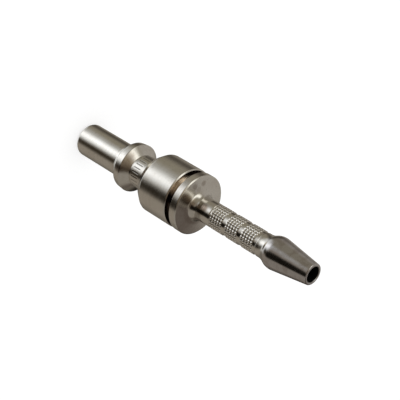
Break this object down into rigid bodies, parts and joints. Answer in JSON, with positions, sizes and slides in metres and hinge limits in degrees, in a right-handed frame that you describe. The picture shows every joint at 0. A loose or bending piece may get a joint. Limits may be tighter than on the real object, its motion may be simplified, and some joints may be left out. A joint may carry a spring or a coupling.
{
  "type": "quick coupler plug",
  "caption": "Turned metal coupling plug: smooth nose with locking bead, grooved collar, knurled stem and hose barb, bored from end to end.",
  "frame": {"origin": "centre of the nose end, which the plug stands on", "axes": "+Z along the bore axis, from the nose end to the hose end; the part is round, so X and Y are any pair across it"},
  "size_m": [0.016, 0.016, 0.081],
  "materials": {
    "steel": "turned and lightly polished stainless steel, warm grey, brighter on the nose"
  },
  "bodies": {
    "root": {"coupler_plug": "steel"}
  },
  "joints": []
}
